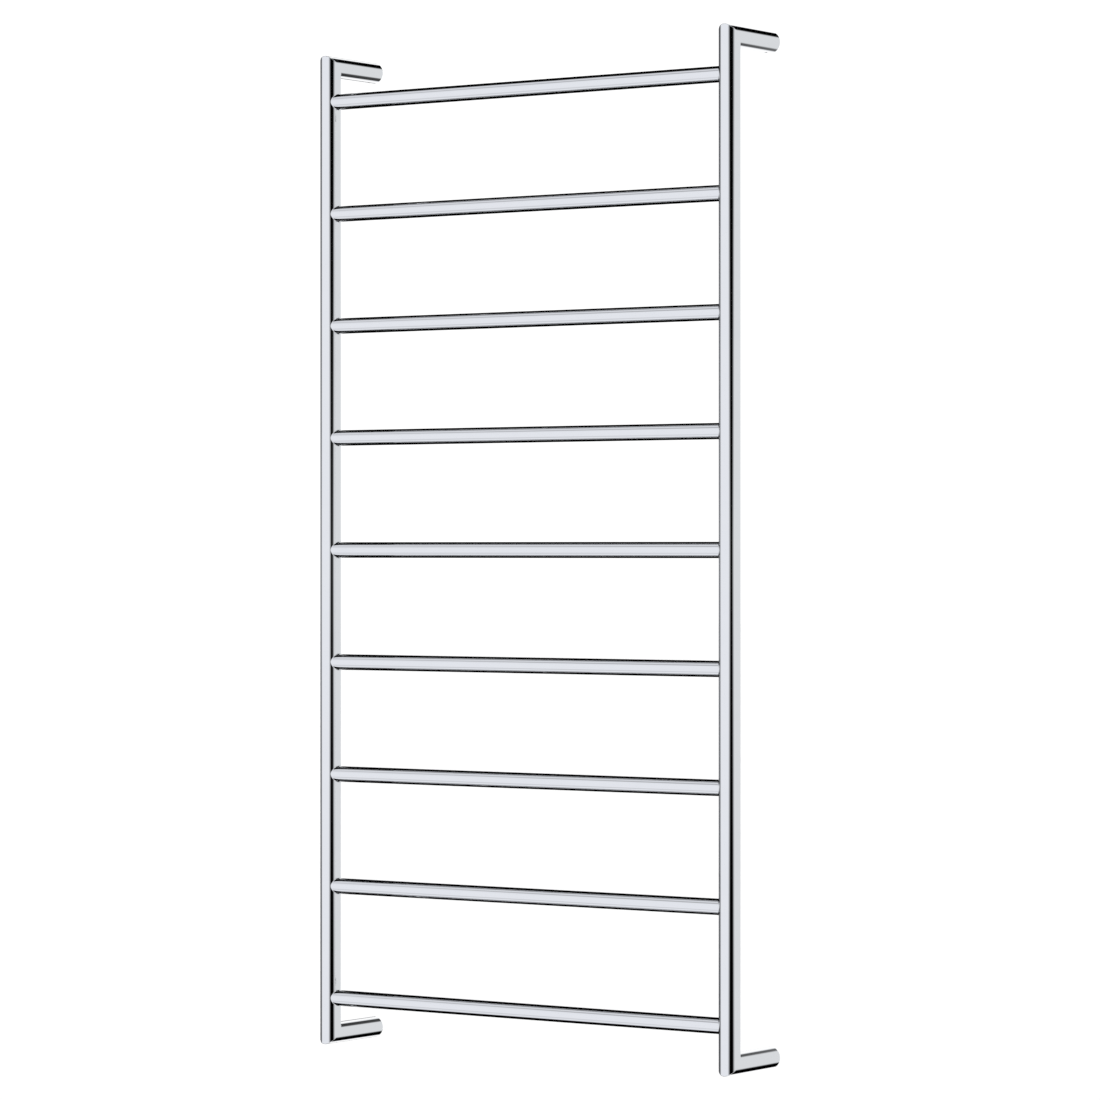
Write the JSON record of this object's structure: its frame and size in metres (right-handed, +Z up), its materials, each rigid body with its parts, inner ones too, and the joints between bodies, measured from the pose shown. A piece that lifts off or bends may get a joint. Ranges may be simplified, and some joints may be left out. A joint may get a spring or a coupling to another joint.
{
  "type": "towel warmer rack",
  "caption": "Chromed ladder towel warmer: straight round rungs between two round uprights, with mitred arms back to the wall.",
  "frame": {"origin": "centre of the four wall screw holes, on the wall plane behind the middle rung", "axes": "+Z up, +Y into the wall, the rack stands out towards -Y, +X to its right seen from the room"},
  "size_m": [0.6, 0.102, 1.2],
  "materials": {
    "chrome": "bright polished chrome plate",
    "weld_steel": "plain drawn steel",
    "turned_steel": "fine turned",
    "screw_steel": "plain stainless",
    "cable_jacket": "matte silicone",
    "silicone": "matte silicone",
    "moulded_plastic": "moulded",
    "shrink_sleeve": "satin shrink sleeve",
    "rubber": "matte"
  },
  "bodies": {
    "wall_fixings": {"top_left_wall_bush": "turned_steel", "top_right_wall_bush": "turned_steel", "bottom_left_wall_bush": "turned_steel", "bottom_right_wall_bush": "turned_steel", "supply_grommet": "rubber"},
    "frame": {"left_post": "chrome", "right_post": "chrome", "top_left_arm": "chrome", "top_right_arm": "chrome", "bottom_left_arm": "chrome", "bottom_right_arm": "chrome", "rung_1": "chrome", "rung_2": "chrome", "rung_3": "chrome", "rung_4": "chrome", "rung_5": "chrome", "rung_6": "chrome", "rung_7": "chrome", "rung_8": "chrome", "rung_9": "chrome", "top_left_sleeve": "weld_steel", "top_right_sleeve": "weld_steel", "bottom_left_sleeve": "weld_steel", "bottom_right_sleeve": "weld_steel", "heating_cable": "cable_jacket", "cable_end_seal": "silicone", "thermal_cutout": "moulded_plastic", "cold_joint": "shrink_sleeve"},
    "top_left_grub": {"top_left_grub_screw": "screw_steel"},
    "top_right_grub": {"top_right_grub_screw": "screw_steel"},
    "bottom_left_grub": {"bottom_left_grub_screw": "screw_steel"},
    "bottom_right_grub": {"bottom_right_grub_screw": "screw_steel"}
  },
  "joints": [
    {"name": "frame_pull_off", "type": "slide", "parent": "wall_fixings", "child": "frame", "axis": [0, -1, 0], "range_m": [0, 0.03]},
    {"name": "top_left_grub_out", "type": "slide", "parent": "frame", "child": "top_left_grub", "axis": [0, 0, -1], "range_m": [0, 0.0035]},
    {"name": "top_right_grub_out", "type": "slide", "parent": "frame", "child": "top_right_grub", "axis": [0, 0, -1], "range_m": [0, 0.0035]},
    {"name": "bottom_left_grub_out", "type": "slide", "parent": "frame", "child": "bottom_left_grub", "axis": [0, 0, -1], "range_m": [0, 0.0035]},
    {"name": "bottom_right_grub_out", "type": "slide", "parent": "frame", "child": "bottom_right_grub", "axis": [0, 0, -1], "range_m": [0, 0.0035]}
  ]
}
